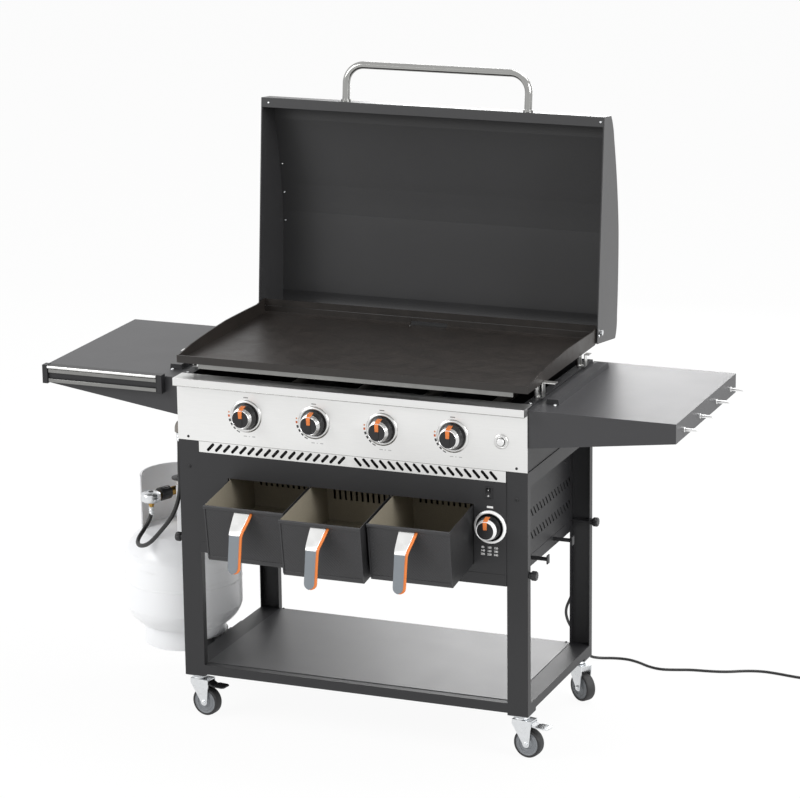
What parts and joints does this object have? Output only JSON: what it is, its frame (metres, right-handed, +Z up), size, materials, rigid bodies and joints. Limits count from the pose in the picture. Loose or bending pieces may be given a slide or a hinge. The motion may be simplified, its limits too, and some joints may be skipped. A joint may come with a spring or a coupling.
{
  "type": "outdoor gas griddle station",
  "caption": "Wheeled outdoor gas griddle with a hinged hood, folding-sheet side tables, pull-out air fryer drawers, a storage shelf and a side-hung gas cylinder.",
  "frame": {"origin": "on the floor, under the middle of the whole object without its mains lead", "axes": "+X to the right of a person at the knobs, +Y away from them to the hood, +Z up"},
  "size_m": [1.9055, 1.1785, 1.6152],
  "materials": {
    "frame_coat": "satin black powder coat",
    "table_coat": "satin charcoal powder coat",
    "hood_coat": "satin dark grey powder coat",
    "brushed_stainless": "horizontally brushed stainless",
    "zinc": "bright zinc plate",
    "black_plastic": "moulded black plastic",
    "knob_plastic": "moulded black knobs with a bright ring",
    "bezel_metal": "pressed bezels",
    "burner_steel": "plain steel tube",
    "peg_chrome": "bright plated pegs",
    "seasoned_steel": "oiled black cooking steel",
    "aluminised_steel": "dull aluminised sheet",
    "pan_coat": "grey non-stick coat",
    "tray_coat": "grey non-stick coat",
    "handle_finish": "brushed face with a painted edge",
    "tyre_rubber": "moulded tyre on a grey hub",
    "tank_enamel": "white enamel",
    "hose_rubber": "smooth black hose",
    "cord_sheath": "black flexible lead"
  },
  "bodies": {
    "root": {"side_frame_left": "frame_coat", "side_frame_right": "frame_coat", "bottom_shelf": "frame_coat", "caster_plates": "zinc", "burner_box": "frame_coat", "control_panel": "brushed_stainless", "knob_bezels": "bezel_metal", "burner_tubes": "burner_steel", "gas_manifold": "burner_steel", "plate_supports": "zinc", "shelf_left": "table_coat", "shelf_right": "table_coat", "tool_strip": "black_plastic", "tool_hooks": "peg_chrome", "fryer_housing": "frame_coat", "fryer_fascia": "frame_coat", "fryer_liner": "aluminised_steel", "thumb_knobs": "black_plastic", "cylinder_holder": "frame_coat", "lp_cylinder": "tank_enamel", "regulator": "black_plastic", "gas_hose": "hose_rubber", "strain_relief": "black_plastic", "power_cord": "cord_sheath", "cord_coil": "cord_sheath", "plug": "black_plastic"},
    "griddle": {"griddle_plate": "seasoned_steel", "hinge_bolts": "zinc"},
    "hood": {"hood_shell": "hood_coat", "hood_end_left": "hood_coat", "hood_end_right": "hood_coat", "hood_handle": "brushed_stainless"},
    "drawer_left": {"drawer_left_pan": "pan_coat", "drawer_left_handle": "handle_finish", "drawer_left_tray": "tray_coat"},
    "drawer_middle": {"drawer_middle_pan": "pan_coat", "drawer_middle_handle": "handle_finish", "drawer_middle_tray": "tray_coat"},
    "drawer_right": {"drawer_right_pan": "pan_coat", "drawer_right_handle": "handle_finish"},
    "fryer_knob": {"fryer_knob": "knob_plastic"},
    "igniter": {"igniter_button": "brushed_stainless"},
    "rocker": {"rocker_switch": "black_plastic"},
    "fan": {"fan_wheel": "aluminised_steel"},
    "cup": {"grease_cup": "zinc"},
    "handwheel": {"cylinder_handwheel": "black_plastic"},
    "pedal_left": {"brake_pedal_left": "black_plastic"},
    "pedal_right": {"brake_pedal_right": "zinc"},
    "knob_1": {"burner_knob_1": "knob_plastic"},
    "knob_2": {"burner_knob_2": "knob_plastic"},
    "knob_3": {"burner_knob_3": "knob_plastic"},
    "knob_4": {"burner_knob_4": "knob_plastic"},
    "swivel_fl": {"caster_fork_fl": "zinc"},
    "wheel_fl": {"caster_wheel_fl": "tyre_rubber"},
    "swivel_fr": {"caster_fork_fr": "zinc"},
    "wheel_fr": {"caster_wheel_fr": "tyre_rubber"},
    "swivel_rl": {"caster_fork_rl": "zinc"},
    "wheel_rl": {"caster_wheel_rl": "tyre_rubber"},
    "swivel_rr": {"caster_fork_rr": "zinc"},
    "wheel_rr": {"caster_wheel_rr": "tyre_rubber"}
  },
  "joints": [
    {"name": "griddle_lift", "type": "slide", "parent": "root", "child": "griddle", "axis": [0, 0, 1], "range_m": [0, 0.06]},
    {"name": "hood_hinge", "type": "hinge", "parent": "griddle", "child": "hood", "pos_m": [-0.0186, 0.33087, 0.96204], "axis": [1, 0, 0], "range_deg": [0, 92.5]},
    {"name": "drawer_left_slide", "type": "slide", "parent": "root", "child": "drawer_left", "axis": [0, -0.9903, -0.1392], "range_m": [-0.16, 0.09]},
    {"name": "drawer_middle_slide", "type": "slide", "parent": "root", "child": "drawer_middle", "axis": [0, -0.9903, -0.1392], "range_m": [-0.195, 0.055]},
    {"name": "drawer_right_slide", "type": "slide", "parent": "root", "child": "drawer_right", "axis": [0, -0.9903, -0.1392], "range_m": [-0.165, 0.085]},
    {"name": "burner_knob_1_turn", "type": "hinge", "parent": "root", "child": "knob_1", "pos_m": [-0.2952, -0.2301, 0.815], "axis": [0, -1, 0], "range_deg": [0, 220]},
    {"name": "burner_knob_2_turn", "type": "hinge", "parent": "root", "child": "knob_2", "pos_m": [-0.1116, -0.2301, 0.815], "axis": [0, -1, 0], "range_deg": [0, 220]},
    {"name": "burner_knob_3_turn", "type": "hinge", "parent": "root", "child": "knob_3", "pos_m": [0.0694, -0.2301, 0.815], "axis": [0, -1, 0], "range_deg": [0, 220]},
    {"name": "burner_knob_4_turn", "type": "hinge", "parent": "root", "child": "knob_4", "pos_m": [0.2544, -0.2301, 0.815], "axis": [0, -1, 0], "range_deg": [0, 220]},
    {"name": "fryer_knob_turn", "type": "hinge", "parent": "root", "child": "fryer_knob", "pos_m": [0.3498, -0.2301, 0.594], "axis": [0, -1, 0], "range_deg": [0, 270]},
    {"name": "igniter_push", "type": "slide", "parent": "root", "child": "igniter", "axis": [0, 1, 0], "range_m": [0, 0.004], "stiffness_N_per_m": 400},
    {"name": "rocker_tilt", "type": "hinge", "parent": "root", "child": "rocker", "pos_m": [0.3464, -0.2071, 0.68], "axis": [1, 0, 0], "range_deg": [-7, 7]},
    {"name": "fan_spin", "type": "hinge", "parent": "root", "child": "fan", "pos_m": [-0.0186, 0.1599, 0.576], "axis": [0, 1, 0], "continuous": true},
    {"name": "cup_slide", "type": "slide", "parent": "root", "child": "cup", "axis": [0, 1, 0], "range_m": [0, 0.09]},
    {"name": "cylinder_valve_turn", "type": "hinge", "parent": "root", "child": "handwheel", "pos_m": [-0.6186, 0.0779, 0.543], "axis": [0, 0, 1], "range_deg": [0, 360]},
    {"name": "caster_fl_swivel", "type": "hinge", "parent": "root", "child": "swivel_fl", "pos_m": [-0.4566, -0.1801, 0.098], "axis": [0, 0, 1], "continuous": true},
    {"name": "caster_fl_roll", "type": "hinge", "parent": "swivel_fl", "child": "wheel_fl", "pos_m": [-0.43685, -0.18323, 0.0375], "axis": [0.1564, 0.9877, 0], "continuous": true},
    {"name": "brake_left_press", "type": "hinge", "parent": "swivel_fl", "child": "pedal_left", "pos_m": [-0.42895, -0.18448, 0.09], "axis": [0.1564, 0.9877, 0], "range_deg": [0, 14]},
    {"name": "caster_fr_swivel", "type": "hinge", "parent": "root", "child": "swivel_fr", "pos_m": [0.4194, -0.1801, 0.098], "axis": [0, 0, 1], "continuous": true},
    {"name": "caster_fr_roll", "type": "hinge", "parent": "swivel_fr", "child": "wheel_fr", "pos_m": [0.43915, -0.18323, 0.0375], "axis": [0.1564, 0.9877, 0], "continuous": true},
    {"name": "brake_right_press", "type": "hinge", "parent": "swivel_fr", "child": "pedal_right", "pos_m": [0.44705, -0.18448, 0.09], "axis": [0.1564, 0.9877, 0], "range_deg": [0, 14]},
    {"name": "caster_rl_swivel", "type": "hinge", "parent": "root", "child": "swivel_rl", "pos_m": [-0.4566, 0.2529, 0.098], "axis": [0, 0, 1], "continuous": true},
    {"name": "caster_rl_roll", "type": "hinge", "parent": "swivel_rl", "child": "wheel_rl", "pos_m": [-0.43719, 0.24806, 0.0375], "axis": [0.2419, 0.9703, 0], "continuous": true},
    {"name": "caster_rr_swivel", "type": "hinge", "parent": "root", "child": "swivel_rr", "pos_m": [0.4194, 0.2529, 0.098], "axis": [0, 0, 1], "continuous": true},
    {"name": "caster_rr_roll", "type": "hinge", "parent": "swivel_rr", "child": "wheel_rr", "pos_m": [0.43623, 0.2421, 0.0375], "axis": [0.5402, 0.8415, 0], "continuous": true}
  ]
}
